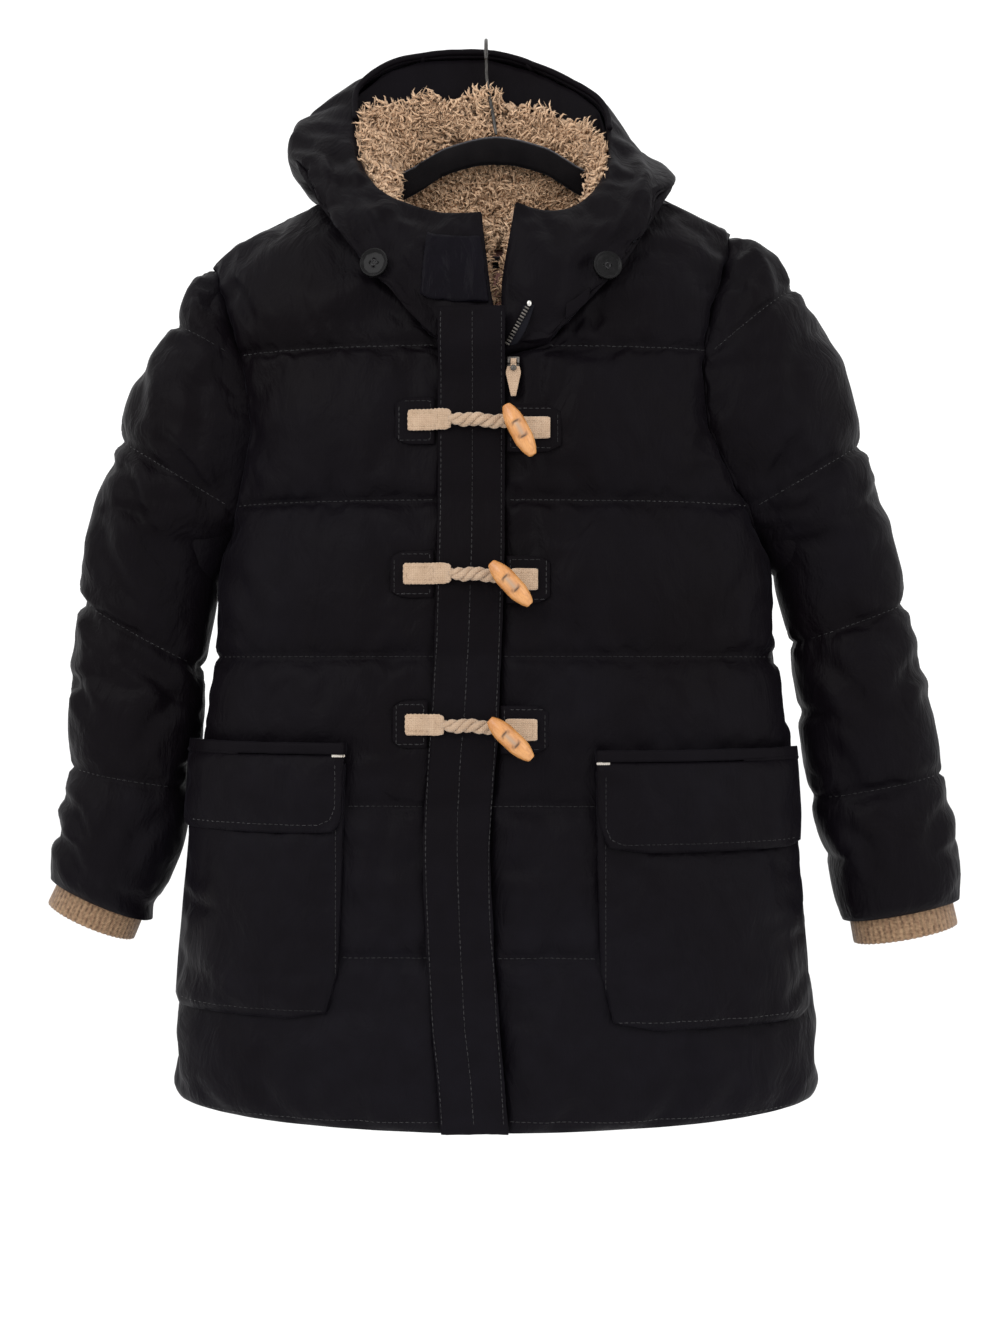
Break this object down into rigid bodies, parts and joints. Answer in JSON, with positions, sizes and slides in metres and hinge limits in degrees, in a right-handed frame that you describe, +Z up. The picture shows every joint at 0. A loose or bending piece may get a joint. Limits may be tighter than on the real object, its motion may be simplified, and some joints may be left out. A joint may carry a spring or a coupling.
{
  "type": "puffer coat on a hanger",
  "caption": "Child's navy padded coat with a fleece-lined hood, toggles on cord loops, big flap pockets and rib cuffs, hung on a flat velvet hanger.",
  "frame": {"origin": "inside top of the hanger's hook, where it hangs on a rail", "axes": "+Z up, +Y towards the back of the coat, +X towards the right side as seen from the front"},
  "size_m": [0.6844, 0.2327, 0.7962],
  "materials": {
    "navy_shell_cloth": "soft sheen woven shell, padded",
    "cream_fleece": "long curly pile",
    "rose_lining": "smooth dusty pink lining",
    "tan_rib_knit": "rib knit",
    "cream_webbing": "twisted cotton cord and tape",
    "orange_wood": "lightly polished",
    "dark_button": "glossy",
    "dark_zip_metal": "dark nickel",
    "black_velvet": "flocked",
    "hook_steel": "dark wire"
  },
  "bodies": {
    "coat": {"back": "navy_shell_cloth", "front_left": "navy_shell_cloth", "front_right": "navy_shell_cloth", "sleeve_left": "navy_shell_cloth", "sleeve_right": "navy_shell_cloth", "cuff_left": "tan_rib_knit", "cuff_right": "tan_rib_knit", "hood_side_left": "navy_shell_cloth", "hood_side_right": "navy_shell_cloth", "hood_center": "navy_shell_cloth", "hood_lining": "cream_fleece", "hood_facing": "navy_shell_cloth", "back_neck_lining": "rose_lining", "placket": "navy_shell_cloth", "pocket_left": "navy_shell_cloth", "pocket_right": "navy_shell_cloth", "pocket_flap_left": "navy_shell_cloth", "pocket_flap_right": "navy_shell_cloth", "pocket_welt_left": "navy_shell_cloth", "pocket_welt_right": "navy_shell_cloth", "toggle_1": "orange_wood", "toggle_2": "orange_wood", "toggle_3": "orange_wood", "toggle_loop_1": "cream_webbing", "toggle_loop_2": "cream_webbing", "toggle_loop_3": "cream_webbing", "toggle_tail_1": "cream_webbing", "toggle_tail_2": "cream_webbing", "toggle_tail_3": "cream_webbing", "toggle_patch_left_1": "navy_shell_cloth", "toggle_patch_left_2": "navy_shell_cloth", "toggle_patch_left_3": "navy_shell_cloth", "toggle_patch_right_1": "navy_shell_cloth", "toggle_patch_right_2": "navy_shell_cloth", "toggle_patch_right_3": "navy_shell_cloth", "button_left": "dark_button", "button_right": "dark_button", "button_tab": "navy_shell_cloth", "chin_flap": "navy_shell_cloth", "zip_closed": "dark_zip_metal", "zip_slider": "dark_zip_metal", "zip_tape_top": "dark_zip_metal", "hanger_body": "black_velvet", "hanger_hook": "hook_steel"},
    "zip_pull": {"zip_pull_tab": "cream_webbing"}
  },
  "joints": [
    {"name": "zip_pull_swing", "type": "hinge", "parent": "coat", "child": "zip_pull", "pos_m": [0.0196, -0.08516, -0.2555], "axis": [1, 0, 0], "range_deg": [-120, 0]}
  ]
}
